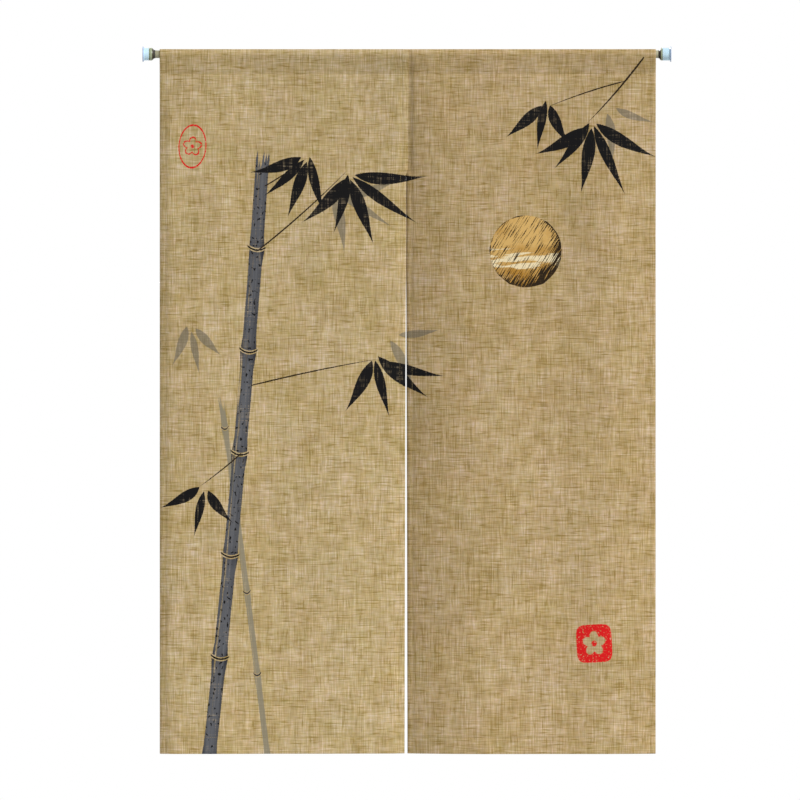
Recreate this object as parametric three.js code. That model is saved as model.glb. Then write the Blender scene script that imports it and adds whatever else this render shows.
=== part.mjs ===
// A split door curtain on a tension rod.
//
// Two cloth panels hang side by side from one rod, which runs through a pocket sewn along
// the top of each. They are sewn edge to edge for the first part of their drop, and below
// that a slit is left to walk through. Each panel is one solid: a sheet with its side hems,
// its bottom hem and its pocket turned to the back and sewn down.
//
// Millimetres. +X runs along the rod, +Y away from the viewer and +Z up. The origin is the
// middle of the rod's axis.

import * as THREE from "three";

// ---- Driving dimensions ----

const PANEL_WIDTH = { left: 422, right: 428 }; // the two are not quite alike
const CURTAIN_DROP = 1208; // top of the pocket to the bottom hem
const SLIT_X = -1.5; // where the panels meet: the cloth hangs a little off the rod's middle
const CLOTH = 1.2; // one layer of cloth
const CLEAR = 0.3; // between neighbouring pieces
const POCKET_EASE = 0.8; // between the tube and the pocket that lies over it

const ROD_LENGTH = 906; // over both end caps
const TUBE = { diameter: 13.4, wall: 0.8 };
const CAP = { flange: 26.5, rim: 1.4, flare: 2, body: 22, socket: 7 };
const COLLAR = { diameter: 21.8, lip: 0.8 };

// Lengths along the rod at its plain end and at its adjusting end.
const ENDS = {
  left: { cap: 11, ring: 5.7, taper: 4.6 },
  right: { cap: 14.9, ring: 2.8, taper: 3.8 },
};

const POCKET_DEPTH = 42; // top of the pocket to its line of stitches
const POCKET_EDGE = 3; // cloth below that line
const TURN_IN = 9; // raw edge folded in along the pocket's lower edge
const SIDE_HEM = 12;
const BOTTOM_HEM = 30;
const HEM_STEP = 0.4; // height or width over which a hem's edge steps down

// The slit: the panels only touch down to `opens`, then part to `width` at the hem.
const SLIT = { opens: 395, width: 4.8, spread: 0.6 };

// How far each upright edge of a panel curls back at full drop, and over what width. The
// curl starts NARROW, this share of that width, at the rod.
const CURLS = {
  left: { slit: { back: 4.5, reach: 38 }, outer: { back: 6.5, reach: 36 } },
  right: { slit: { back: 22, reach: 134 }, outer: { back: 12, reach: 130 } },
};

const NARROW = 0.4;
const STEEPER = 2.2;

// How far the slit's edge stands back from the outer edge, in one even slope.
const LEANS = { left: 17.5, right: 0 };

// Soft upright waves in the flat of each panel: the middle of the wave measured from the
// slit, its half width, and how far it stands forward (or back, when negative).
const WAVES = {
  left: [
    { middle: 118, half: 80, forward: 1.6 },
    { middle: 232, half: 75, forward: -1.2 },
    { middle: 330, half: 70, forward: 2.0 },
  ],
  right: [
    { middle: 150, half: 90, forward: 2.4 },
    { middle: 262, half: 80, forward: -1.4 },
    { middle: 345, half: 60, forward: 1.2 },
  ],
};

// How freely the cloth leaves its flat plane: the share reached at each height.
const FREEDOM = [
  { z: -4, share: 0 },
  { z: -40, share: 0.32 },
  { z: -120, share: 0.6 },
  { z: -240, share: 0.8 },
  { z: -520, share: 1 },
  { z: -1200, share: 1.12 },
];

const COLUMNS = 14; // strips across a panel, between its side hems
const ROWS = 18; // strips down a panel, below its pocket
const ARC_STEPS = 12; // over the rod
const ROUND = 40; // sides of the rod's turned parts

// ---- Sizes worked out from them ----

const POCKET_RADIUS = TUBE.diameter / 2 + POCKET_EASE;
const TOP = POCKET_RADIUS + CLOTH;
const STITCH_Z = TOP - POCKET_DEPTH;
const HEM_Z = TOP - CURTAIN_DROP;

// ---- Cloth ----

const smooth = (t) => t * t * (3 - 2 * t);

/** The share of its full drape that the cloth has at height z. */
function freedom(z) {
  if (z >= FREEDOM[0].z) return 0;
  for (let i = 1; i < FREEDOM.length; i += 1) {
    const above = FREEDOM[i - 1];
    const below = FREEDOM[i];
    if (z >= below.z) {
      const t = (above.z - z) / (above.z - below.z);
      return above.share + (below.share - above.share) * t;
    }
  }
  return FREEDOM.at(-1).share;
}

/** How far back an edge's curl carries the cloth at a distance from that edge. */
function curl({ back, reach }, distance, share) {
  const width = reach * (NARROW + (1 - NARROW) * share);
  return distance < width ? back * (1 - distance / width) ** STEEPER : 0;
}

/** How far back the cloth hangs, at a distance from the slit and a height. */
function drape(panel, across, z) {
  const edges = CURLS[panel];
  const share = freedom(z);
  const fromOuter = PANEL_WIDTH[panel] - across;
  let back = curl(edges.slit, across, share) + curl(edges.outer, fromOuter, share);
  back += (LEANS[panel] * fromOuter) / PANEL_WIDTH[panel];
  for (const wave of WAVES[panel]) {
    const off = Math.abs(across - wave.middle) / wave.half;
    if (off < 1) back -= wave.forward * smooth(1 - off);
  }
  return back * share;
}

/** Half of the space between the two panels at height z. */
function halfSlit(z) {
  const below = TOP - z - SLIT.opens;
  const share = Math.max(0, below / (CURTAIN_DROP - SLIT.opens));
  return CLEAR / 2 + ((SLIT.width - CLEAR) / 2) * share ** SLIT.spread;
}

/** Points on an arc about the rod's axis, from one angle to another, both included. */
function arc(radius, from, to) {
  return Array.from({ length: ARC_STEPS + 1 }, (_, i) => {
    const angle = from + ((to - from) * i) / ARC_STEPS;
    return { y: radius * Math.cos(angle), z: radius * Math.sin(angle) };
  });
}

/** The angle at which a line from point (y, z), below the rod, touches a circle around it. */
function tangentAngle(radius, y, z, side) {
  return Math.atan2(z, y) + side * Math.acos(radius / Math.hypot(y, z));
}

/**
 * The upright section through a panel, seen along the rod. `outside` runs up the front,
 * over the rod and down the back. `pocket` is the hole for the rod and runs the other way.
 * A point marked `hemmed` moves back by one layer where the side hems lie.
 */
function panelSection() {
  const pocketEdge = STITCH_Z - POCKET_EDGE;
  const turnIn = pocketEdge + TURN_IN;
  const hemTop = HEM_Z + BOTTOM_HEM;
  const rows = Array.from({ length: ROWS + 1 }, (_, i) => {
    return hemTop + ((pocketEdge - hemTop) * i) / ROWS;
  });

  const frontStart = tangentAngle(TOP, -CLOTH, STITCH_Z, -1);
  const backEnd = tangentAngle(TOP, 2 * CLOTH, turnIn, 1);
  const outside = [
    { y: -CLOTH, z: HEM_Z },
    ...rows.map((z) => ({ y: -CLOTH, z })),
    { y: -CLOTH, z: STITCH_Z },
    ...arc(TOP, frontStart + 2 * Math.PI, backEnd),
    { y: 2 * CLOTH, z: turnIn },
    { y: 2 * CLOTH, z: pocketEdge + HEM_STEP },
    ...rows.reverse().map((z) => ({ y: 0, z, hemmed: true })),
    { y: CLOTH, z: hemTop - HEM_STEP, hemmed: true },
    { y: CLOTH, z: HEM_Z, hemmed: true },
  ];

  const pocketBack = tangentAngle(POCKET_RADIUS, CLOTH, turnIn, 1);
  const pocketFront = tangentAngle(POCKET_RADIUS, 0, STITCH_Z, -1);
  const pocket = [
    { y: 0, z: STITCH_Z + 2 * CLOTH },
    { y: CLOTH, z: turnIn },
    ...arc(POCKET_RADIUS, pocketBack, pocketFront + 2 * Math.PI),
  ];
  return { outside, pocket };
}

/** The columns of a panel, as distances from the slit with the layers of side hem there. */
function panelColumns(width) {
  const flat = width - 2 * SIDE_HEM;
  const between = Array.from({ length: COLUMNS + 1 }, (_, i) => {
    const share = (1 - Math.cos((Math.PI * i) / COLUMNS)) / 2;
    return { across: SIDE_HEM + flat * share, hem: 0 };
  });
  return [
    { across: 0, hem: 1 },
    { across: SIDE_HEM - HEM_STEP, hem: 1 },
    ...between,
    { across: width - SIDE_HEM + HEM_STEP, hem: 1 },
    { across: width, hem: 1 },
  ];
}

/** One cloth panel as a closed lattice of sections. */
function clothPanel(panel) {
  const side = panel === "left" ? -1 : 1;
  const width = PANEL_WIDTH[panel];
  const { outside, pocket } = panelSection();
  const section = [...outside, ...pocket];
  const columns = panelColumns(width);
  if (side < 0) columns.reverse();

  const positions = [];
  for (const { across, hem } of columns) {
    for (const { y, z, hemmed } of section) {
      const inner = halfSlit(z);
      const x = SLIT_X + side * (inner + (across * (width - inner)) / width);
      const layers = hemmed ? hem * CLOTH : 0;
      positions.push(x, y + layers + drape(panel, across, z), z);
    }
  }

  const indices = [];
  const skin = (first, count, column) => {
    for (let j = 0; j < count; j += 1) {
      const a = column * section.length + first + j;
      const b = column * section.length + first + ((j + 1) % count);
      const c = b + section.length;
      const d = a + section.length;
      indices.push(a, d, c, a, c, b);
    }
  };
  for (let column = 0; column < columns.length - 1; column += 1) {
    skin(0, outside.length, column);
    skin(outside.length, pocket.length, column);
  }

  // The two upright edges, each a flat face with the pocket's hole in it.
  const flat = ({ y, z, hemmed }) => new THREE.Vector2(y + (hemmed ? CLOTH : 0), z);
  const faces = THREE.ShapeUtils.triangulateShape(outside.map(flat), [pocket.map(flat)]);
  const last = (columns.length - 1) * section.length;
  const points = section.map(flat);
  for (const [a, b, c] of faces) {
    const turn = points[b].clone().sub(points[a]).cross(points[c].clone().sub(points[a]));
    const [p, q] = turn > 0 ? [b, c] : [c, b];
    indices.push(last + a, last + p, last + q, a, q, p);
  }

  const geometry = new THREE.BufferGeometry();
  geometry.setAttribute("position", new THREE.Float32BufferAttribute(positions, 3));
  geometry.setIndex(indices);
  return geometry;
}

// ---- Rod ----

/**
 * A part turned about the rod's axis from a profile of [distance along, radius], which
 * starts and ends on the axis or comes back to its first point.
 */
function turned(profile) {
  const points = profile.map(([along, radius]) => new THREE.Vector2(radius, along));
  return new THREE.LatheGeometry(points, ROUND).rotateZ(-Math.PI / 2);
}

function rodTube() {
  const start = -ROD_LENGTH / 2 + ENDS.left.cap - CAP.socket + CLEAR;
  const end = ROD_LENGTH / 2 - ENDS.right.cap + CAP.socket - CLEAR;
  const outer = TUBE.diameter / 2;
  const inner = outer - TUBE.wall;
  return turned([[start, inner], [start, outer], [end, outer], [end, inner], [start, inner]]);
}

/** A collar, made for the rod's right end: a ring by the cap that tapers down to the tube. */
function collar({ cap, ring, taper }) {
  const start = ROD_LENGTH / 2 - cap - CLEAR;
  const shoulder = start - ring;
  const end = shoulder - taper;
  const bore = TUBE.diameter / 2 + CLEAR;
  const outer = COLLAR.diameter / 2;
  return turned([
    [end, bore],
    [end, bore + COLLAR.lip],
    [shoulder, outer],
    [start, outer],
    [start, bore],
    [end, bore],
  ]);
}

/** A cap, made for the right end: a plug with a blind socket for the tube and a flared rim. */
function endCap({ cap }) {
  const face = ROD_LENGTH / 2;
  const rim = face - CAP.rim;
  const mouth = face - cap;
  const floor = mouth + CAP.socket;
  const bore = TUBE.diameter / 2 + CLEAR;
  return turned([
    [floor, 0],
    [floor, bore],
    [mouth, bore],
    [mouth, CAP.body / 2],
    [rim - CAP.flare, CAP.body / 2],
    [rim, CAP.flange / 2],
    [face, CAP.flange / 2],
    [face, 0],
  ]);
}

// ---- The curtain ----

const MATERIALS = {
  cloth: { color: 0xb8a174, roughness: 0.95, metalness: 0 },
  tube: { color: 0x99957c, roughness: 0.4, metalness: 0.2 },
  collar: { color: 0x98a07c, roughness: 0.35, metalness: 0 },
  cap: { color: 0xc6e6fb, roughness: 0.2, metalness: 0 },
};

function piece(name, geometry, finish) {
  const mesh = new THREE.Mesh(geometry, new THREE.MeshStandardMaterial(MATERIALS[finish]));
  mesh.name = name;
  return mesh;
}

/** The collar and cap of one end. The left ones are turned half way round. */
function rodEnd(side) {
  const end = new THREE.Group();
  end.add(
    piece(`${side}_collar`, collar(ENDS[side]), "collar"),
    piece(`${side}_cap`, endCap(ENDS[side]), "cap"),
  );
  end.rotation.z = side === "left" ? Math.PI : 0;
  return end;
}

const curtain = new THREE.Group();
curtain.add(
  piece("left_panel", clothPanel("left"), "cloth"),
  piece("right_panel", clothPanel("right"), "cloth"),
  piece("rod_tube", rodTube(), "tube"),
  rodEnd("left"),
  rodEnd("right"),
);

export default curtain;
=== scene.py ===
# %% [markdown]
# # A split door curtain on a tension rod
#
# Two linen-look panels hang from one thin rod. They are sewn together at the top, and
# below the seam a slit is left to walk through. This lesson dresses the plain solids of
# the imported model: it cuts the cloth flat, folds its hems and hangs it, weaves and prints
# it with shader nodes, sews it, and turns the rod's metal and plastic ends.
#
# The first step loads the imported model. Its pieces are the fixed frame for all the rest.

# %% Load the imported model
import bisect
import math

import bmesh
import bpy
import numpy as np
from mathutils import Matrix, Vector, noise


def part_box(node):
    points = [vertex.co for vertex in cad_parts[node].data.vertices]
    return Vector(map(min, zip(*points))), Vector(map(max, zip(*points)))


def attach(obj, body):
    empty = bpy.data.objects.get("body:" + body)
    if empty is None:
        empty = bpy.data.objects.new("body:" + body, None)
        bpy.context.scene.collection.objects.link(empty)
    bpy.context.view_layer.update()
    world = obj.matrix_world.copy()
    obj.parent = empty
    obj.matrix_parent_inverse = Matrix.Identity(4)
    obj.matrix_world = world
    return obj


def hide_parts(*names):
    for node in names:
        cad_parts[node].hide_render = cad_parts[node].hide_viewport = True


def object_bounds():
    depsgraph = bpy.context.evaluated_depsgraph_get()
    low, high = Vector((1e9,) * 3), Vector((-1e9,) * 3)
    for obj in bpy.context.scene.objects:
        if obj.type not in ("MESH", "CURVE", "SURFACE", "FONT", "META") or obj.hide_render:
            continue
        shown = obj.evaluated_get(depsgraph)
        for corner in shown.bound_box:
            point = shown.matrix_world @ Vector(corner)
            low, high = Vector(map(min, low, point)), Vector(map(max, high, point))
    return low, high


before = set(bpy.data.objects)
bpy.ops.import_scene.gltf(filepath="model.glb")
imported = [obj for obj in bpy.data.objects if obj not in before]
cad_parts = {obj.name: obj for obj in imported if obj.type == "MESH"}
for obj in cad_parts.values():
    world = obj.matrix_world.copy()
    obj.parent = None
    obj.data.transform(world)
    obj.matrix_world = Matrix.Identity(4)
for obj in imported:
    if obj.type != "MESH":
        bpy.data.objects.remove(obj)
cad_low, cad_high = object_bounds()
print("nodes:", sorted(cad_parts))
print("overall, m:", [round(side, 3) for side in cad_high - cad_low])

# %% [markdown]
# ## Camera
#
# A curtain in a catalogue is seen square on, from far enough away that its upright edges
# stay parallel. A long lens does that. The camera's height and its distance follow from
# the curtain's own box and from how much of the frame the cloth fills.

# %% Camera
LENS_MM = 400
FRAME_WIDTH = 1.3712  # metres across the view, in the plane of the cloth
AIM_LEFT = 0.0118  # the rod sits a little right of the middle of the view
AIM_DOWN = 0.5927  # from the rod's axis to the middle of the view


def add_object(name, data):
    """A new object in the scene, at the origin."""
    thing = bpy.data.objects.new(name, data)
    bpy.context.collection.objects.link(thing)
    return thing


camera = add_object("camera", bpy.data.cameras.new("camera"))
camera.data.lens = LENS_MM
distance = FRAME_WIDTH * LENS_MM / camera.data.sensor_width
camera.location = (-AIM_LEFT, -distance, -AIM_DOWN)
camera.rotation_euler = (math.radians(90), 0, 0)
bpy.context.scene.camera = camera
print("camera stands", round(distance, 2), "m in front of the cloth")

# %% [markdown]
# ## Building materials from nodes
#
# Every finish below is a chain of shader nodes. Made one by one, each node takes several
# lines. So a small helper adds a node, fills its inputs with numbers or with the outputs
# of other nodes, and gives back what it puts out. Adding or multiplying such an output
# adds the Math node for that, and a recipe then reads like a formula.

# %% A helper for node recipes
MM = 0.001


class Value:
    """What a node puts out. Arithmetic with it adds Math nodes."""

    def __init__(self, recipe, socket):
        self.recipe, self.socket = recipe, socket

    def __add__(self, other):
        return self.recipe.math("ADD", self, other)

    def __sub__(self, other):
        return self.recipe.math("SUBTRACT", self, other)

    def __rsub__(self, other):
        return self.recipe.math("SUBTRACT", other, self)

    def __mul__(self, other):
        return self.recipe.math("MULTIPLY", self, other)

    def __pow__(self, power):
        return self.recipe.math("POWER", self, power)

    def __abs__(self):
        return self.recipe.math("ABSOLUTE", self)

    def span(self, low, high, new_low=0.0, new_high=1.0):
        """Carry the value from one range over to another, and stop it at the ends."""
        node = self.recipe.add("MapRange", Value=self, From_Min=low, From_Max=high,
                               To_Min=new_low, To_Max=new_high)
        return Value(self.recipe, node.outputs[0])


class Recipe:
    """Adds nodes to a tree. An input may be a number, a tuple or another node's output."""

    def __init__(self, tree):
        self.tree = tree

    def fill(self, sockets, *values):
        """Fill the first inputs of a row of them."""
        for socket, value in zip(sockets, values):
            if isinstance(value, Value):
                value = value.socket
            if isinstance(value, bpy.types.NodeSocket):
                self.tree.links.new(value, socket)
            else:
                socket.default_value = value

    def fill_named(self, node, **inputs):
        """Fill a node's inputs by name, with an underscore for each space."""
        for name, value in inputs.items():
            self.fill([node.inputs[name.replace("_", " ")]], value)

    def add(self, kind, settings=None, **inputs):
        node = self.tree.nodes.new("ShaderNode" + kind)
        count = len(self.tree.nodes)
        node.location = (200 * (count % 12), -200 * (count // 12))
        for name, value in (settings or {}).items():
            setattr(node, name, value)
        self.fill_named(node, **inputs)
        return node

    def calculate(self, kind, operation, values):
        """Add a node that works on its first inputs in order."""
        node = self.add(kind, {"operation": operation})
        self.fill(node.inputs, *values)
        return node.outputs

    def math(self, operation, *values):
        return Value(self, self.calculate("Math", operation, values)[0])

    def vector(self, operation, *values):
        return self.calculate("VectorMath", operation, values)[0]

    def length(self, vector):
        return Value(self, self.calculate("VectorMath", "LENGTH", [vector])["Value"])

    def mix(self, share, one, other, kind="MIX"):
        """A blend of two colours."""
        node = self.add("Mix", {"data_type": "RGBA", "blend_type": kind})
        self.fill([node.inputs[i] for i in (0, 6, 7)], share, one, other)
        return node.outputs[2]

    def frame(self, vector, place=(0, 0, 0), size=(1, 1, 1), angle=0.0):
        """The vector as seen from a place, in units of a size, turned by degrees."""
        turned = (0, 0, math.radians(angle))
        node = self.add("Mapping", {"vector_type": "TEXTURE"}, Vector=vector,
                        Location=place, Rotation=turned, Scale=size)
        return node.outputs[0]

    def noise(self, vector, place=(0, 0, 0), size=(1, 1, 1), angle=0.0, detail=1.0,
              roughness=0.5, dimensions="2D", gives="Fac"):
        """Noise with cells of a size, as one value or as a Color of three."""
        size = size if isinstance(size, tuple) else (size,) * 3
        node = self.add("TexNoise", {"noise_dimensions": dimensions}, Scale=1.0,
                        Vector=self.frame(vector, place, size, angle),
                        Detail=detail, Roughness=roughness)
        return Value(self, node.outputs[gives])

    def solid_noise(self, size, detail, roughness):
        """Noise through the body of a piece."""
        place = self.add("TexCoord").outputs["Object"]
        return self.noise(place, size=size, detail=detail, roughness=roughness, dimensions="3D")

    def split(self, vector):
        """The three parts of a vector, or of a place."""
        return [Value(self, part) for part in self.add("SeparateXYZ", Vector=vector).outputs]

    def named(self, sockets):
        return {socket.name: Value(self, socket) for socket in sockets}

    def group(self, tree, **inputs):
        return self.named(self.add("Group", {"node_tree": tree}, **inputs).outputs)


def new_material(name):
    """A material, its Principled shader and the recipe that fills it."""
    material = bpy.data.materials.new(name)
    material.use_nodes = True
    shader = material.node_tree.nodes["Principled BSDF"]
    return material, shader, Recipe(material.node_tree)


def new_group(name, inputs, outputs):
    """A node group with named inputs and outputs, each given with its kind."""
    tree = bpy.data.node_groups.new(name, "ShaderNodeTree")
    for way, sockets in (("INPUT", inputs), ("OUTPUT", outputs)):
        for label, kind in sockets.items():
            tree.interface.new_socket(label, in_out=way, socket_type="NodeSocket" + kind)
    recipe = Recipe(tree)
    given = recipe.named(tree.nodes.new("NodeGroupInput").outputs)
    return tree, recipe, given, tree.nodes.new("NodeGroupOutput")


def colour(red, green, blue):
    """A colour written as it looks, 0 to 255, turned into the linear light of shaders."""
    linear = [((c / 255 + 0.055) / 1.055) ** 2.4 for c in (red, green, blue)]
    return (*linear, 1)


print("warm tan in linear light:", [round(c, 3) for c in colour(186, 164, 119)[:3]])

# %% [markdown]
# ## Light and floor
#
# Linen is matt, so a soft lamp from the upper right models its edges, and a pale sky fills
# the rest. The two add up to a plain level, at which a colour renders about as it is
# written. A second, weaker lamp lights the back of the curtain, where the first can't
# reach. Camera, gloss and glass rays see a white background in place of the sky. The
# floor is a pale disc well below the hem, where it only catches the shadow.

# %% Light and floor
SKY_LEVEL = 0.305
LAMP_ANGLE = math.radians(25)  # how wide a lamp looks, which softens its shadows
LAMPS = {
    "front lamp": {"power": 3.12, "from": Vector((0.63, -0.55, 0.50))},
    "back lamp": {"power": 1.9, "from": Vector((-0.45, 0.76, 0.47))},
}
FLOOR_RADIUS = 2.2
FLOOR_BELOW_HEM = 1.0
FLOOR_SIDES = 96
FLOOR_COLOUR = (0.76, 0.76, 0.75, 1)
FLOOR_ROUGHNESS = 0.9


def white_backdrop(tree):
    """Let camera, gloss and glass rays see white, and all others the plain sky."""
    recipe = Recipe(tree)
    sky = tree.nodes["Background"]
    recipe.fill_named(sky, Color=(1, 1, 1, 1), Strength=SKY_LEVEL)
    white = recipe.add("Background", Color=(1, 1, 1, 1))
    rays = recipe.add("LightPath").outputs
    seen = recipe.math("MAXIMUM", rays["Is Camera Ray"], rays["Is Glossy Ray"])
    seen = recipe.math("MAXIMUM", seen, rays["Is Transmission Ray"])
    mixed = recipe.add("MixShader")
    recipe.fill(mixed.inputs, seen, sky.outputs[0], white.outputs[0])
    recipe.fill_named(tree.nodes["World Output"], Surface=mixed.outputs[0])


world = bpy.data.worlds.new("studio")
world.use_nodes = True
bpy.context.scene.world = world
white_backdrop(world.node_tree)
bpy.context.scene.view_settings.view_transform = "Standard"

for name, setting in LAMPS.items():
    lamp = add_object(name, bpy.data.lights.new(name, "SUN"))
    lamp.data.energy = setting["power"]
    lamp.data.angle = LAMP_ANGLE
    lamp.rotation_euler = setting["from"].to_track_quat("Z", "Y").to_euler()

bm = bmesh.new()
bmesh.ops.create_circle(bm, cap_ends=True, radius=FLOOR_RADIUS, segments=FLOOR_SIDES)
bmesh.ops.translate(bm, vec=(0, 0, cad_low.z - FLOOR_BELOW_HEM), verts=bm.verts)
floor_mesh = bpy.data.meshes.new("floor")
bm.to_mesh(floor_mesh)
bm.free()
floor = add_object("floor", floor_mesh)
floor_paint, shader, recipe = new_material("floor")
recipe.fill_named(shader, Base_Color=FLOOR_COLOUR, Roughness=FLOOR_ROUGHNESS)
floor_mesh.materials.append(floor_paint)
print("floor lies", round(cad_low.z - FLOOR_BELOW_HEM, 2), "m below the rod")

# %% [markdown]
# ## How the cloth hangs
#
# The rest of the script thinks in millimetres, as a sewing room does, and turns them into
# metres only when a mesh is made. The panels' widths, the hem's height and the tube's
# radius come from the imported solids. What the solids don't state is named here: the depth
# of the pocket, the hems, and how thin the cloth is.

# %% Sizes in millimetres
left_low, left_high = (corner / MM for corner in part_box("left_panel"))
right_low, right_high = (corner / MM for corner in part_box("right_panel"))
tube_low, tube_high = (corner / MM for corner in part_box("rod_tube"))

SLIT_X = (left_high.x + right_low.x) / 2
PANEL_WIDTH = {"left": SLIT_X - left_low.x, "right": right_high.x - SLIT_X}
HEM_Z = min(left_low.z, right_low.z)
POCKET_TOP = max(left_high.z, right_high.z)
TUBE_RADIUS = (tube_high.z - tube_low.z) / 2

DROP = POCKET_TOP - HEM_Z
POCKET_DEPTH = 42
POCKET_EDGE = 3  # cloth below the pocket's stitches
STITCH_Z = POCKET_TOP - POCKET_DEPTH
SIDE_HEM = 12
BOTTOM_HEM = 30
TURN_IN = 8  # raw edge folded away inside a hem
SEAM_LENGTH = 211  # panels sewn together, from the top
LAYER = 0.5  # from the middle of one layer of cloth to the middle of the next
THICKNESS = 0.4
TOUCH = THICKNESS / 2 + 0.05  # from the slit's line to the middle of a panel that meets it
FRONT_Y = -1.0  # middle of the front layer
STITCH_INSET = 2.2  # hem stitches lie this far inside the hem's folded edge

print("panels", {side: round(w, 1) for side, w in PANEL_WIDTH.items()}, "mm wide")
print("pocket stitched", round(-STITCH_Z, 1), "mm below the rod's axis")

# %% [markdown]
# Hung cloth is never a plane. Each upright edge curls toward the back, because the hem
# there is stiffer than the rest, and soft waves run down between the edges. The left
# panel also leans back toward the slit, where it is sewn to the right one, whose edge
# curls more. The pocket holds the cloth straight at the rod, so all of this grows with
# the distance from it. A short table with a row for each wave is enough, and a formula
# does the rest.
#
# In the seam, the left panel laps a few millimetres over the right one, whose edge dips
# behind it. Below the seam the edges only touch. There the right one rolls back a
# little, which draws a thin dark line, and further down the slit opens.

# %% Drape
CURLS = {
    "left": {"slit": {"back": 4.5, "reach": 38}, "outer": {"back": 6.5, "reach": 36}},
    "right": {"slit": {"back": 22, "reach": 134}, "outer": {"back": 12, "reach": 130}},
}
STEEPER = 2.2  # the power that a curl steepens with toward its edge
NARROW = 0.4  # a curl starts this share of its full width at the rod
LEANS = {"left": 17.5, "right": 0}
WAVES = {
    "left": [
        {"middle": 118, "half": 80, "forward": 1.6},
        {"middle": 232, "half": 75, "forward": -1.2},
        {"middle": 330, "half": 70, "forward": 2.0},
    ],
    "right": [
        {"middle": 150, "half": 90, "forward": 2.4},
        {"middle": 262, "half": 80, "forward": -1.4},
        {"middle": 345, "half": 60, "forward": 1.2},
    ],
}
FREEDOM = [(-4, 0.0), (-40, 0.32), (-120, 0.6), (-240, 0.8), (-520, 1.0), (-1200, 1.12)]
SLIT = {"opens": 395, "width": 4.8, "spread": 0.6}
LAP = {
    "past": 3.8, "under": 4.5, "behind": 1.7, "ramp": 12, "stitch": 2.2, "reach": 45, "ease": 12,
}
ROLL = {"back": 2.4, "reach": 3.2, "fade": 0.7}


def smooth(t):
    t = min(max(t, 0), 1)
    return t * t * (3 - 2 * t)


def freedom(z):
    """The share of its full drape that the cloth has at height z."""
    if z >= FREEDOM[0][0]:
        return 0
    for (above, more), (below, less) in zip(FREEDOM, FREEDOM[1:]):
        if z >= below:
            return more + (less - more) * (above - z) / (above - below)
    return FREEDOM[-1][1]


def curl(edge, distance, share):
    width = edge["reach"] * (NARROW + (1 - NARROW) * share)
    return edge["back"] * max(0, 1 - distance / width) ** STEEPER


def drape(side, across, z):
    """How far back the cloth hangs, at a distance from the slit and a height."""
    share = freedom(z)
    from_outer = PANEL_WIDTH[side] - across
    back = curl(CURLS[side]["slit"], across, share)
    back += curl(CURLS[side]["outer"], from_outer, share)
    back += LEANS[side] * from_outer / PANEL_WIDTH[side]
    for wave in WAVES[side]:
        off = abs(across - wave["middle"]) / wave["half"]
        back -= wave["forward"] * smooth(1 - off)
    return back * share


def sewn(z):
    """1 in the seam between the panels, 0 below it."""
    below = POCKET_TOP - z - SEAM_LENGTH
    return 1 - smooth((below + LAP["ease"] / 2) / LAP["ease"])


def opened(z):
    """0 where the edges still touch, 1 at the hem."""
    return max(0, (POCKET_TOP - z - SLIT["opens"]) / (DROP - SLIT["opens"]))


def half_slit(z):
    """Half of the space between the panels, which touch at first and then part slowly."""
    return TOUCH + SLIT["width"] / 2 * opened(z) ** SLIT["spread"]


def lap_shift(side, across, z):
    """How far the seam pulls a panel past the slit's line, to the right."""
    past = LAP["past"] + TOUCH if side == "left" else LAP["past"] - LAP["under"] - TOUCH
    return past * sewn(z) * smooth(1 - across / LAP["reach"])


def edge_depth(side, across, z):
    """How far the right panel's edge dips behind the left one, or rolls back below."""
    if side == "left":
        return 0
    tucked = LAP["behind"] * smooth(1 - (across - LAP["under"]) / LAP["ramp"])
    rolled = ROLL["back"] * max(0, 1 - across / ROLL["reach"]) ** 2
    rolled *= 1 - ROLL["fade"] * opened(z)
    return sewn(z) * tucked + (1 - sewn(z)) * rolled


print("slit at the hem:", round(2 * half_slit(HEM_Z), 1), "mm")

# %% [markdown]
# Sewing leaves its own marks. A line of stitches pulls the cloth into a shallow groove
# and gathers it into small puckers, and the yarn is uneven enough that even the open
# cloth isn't perfectly flat. The noise function of mathutils gives the same answer each
# time, so the curtain hangs the same way in each run.

# %% Small unevenness
GROOVE = {"depth": 0.45, "width": 2.2, "full_below": 20}
PUCKER = {"height": 0.42, "length": 21, "reach": 13, "full_below": 12}
UNEVEN = {"height": 0.8, "length": 95, "stretch": 0.6}
SEEDS = {"left": 10, "right": 40}
UNSEEN = 40  # this far from a line of stitches, its marks have faded


def seam_distances(side, across, z):
    """How far a place lies from each line of stitches nearby."""
    width = PANEL_WIDTH[side]
    from_edge = min(across, width - across)
    lines = [
        abs(from_edge - SIDE_HEM + STITCH_INSET),
        abs(z - HEM_Z - BOTTOM_HEM + STITCH_INSET),
        abs(z - STITCH_Z),
    ]
    if side == "left":
        lines.append(abs(across - LAP["stitch"]) + UNSEEN * (1 - sewn(z)))
    return lines


def small_relief(side, across, z):
    """Grooves, puckers and unevenness, added to the drape."""
    near = min(seam_distances(side, across, z))
    groove = GROOVE["depth"] * math.exp(-((near / GROOVE["width"]) ** 2))
    place = Vector((across, z, SEEDS[side])) / PUCKER["length"]
    pucker = PUCKER["height"] * noise.noise(place) * math.exp(-near / PUCKER["reach"])
    place = Vector((across, z * UNEVEN["stretch"], SEEDS[side])) / UNEVEN["length"]
    uneven = UNEVEN["height"] * noise.noise(place) * min(1, freedom(z))
    groove *= smooth(-z / GROOVE["full_below"])
    pucker *= smooth(-z / PUCKER["full_below"])
    return groove + pucker + uneven


print("relief at the pocket's stitches:", round(small_relief("left", 100, STITCH_Z), 2), "mm")

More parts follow.
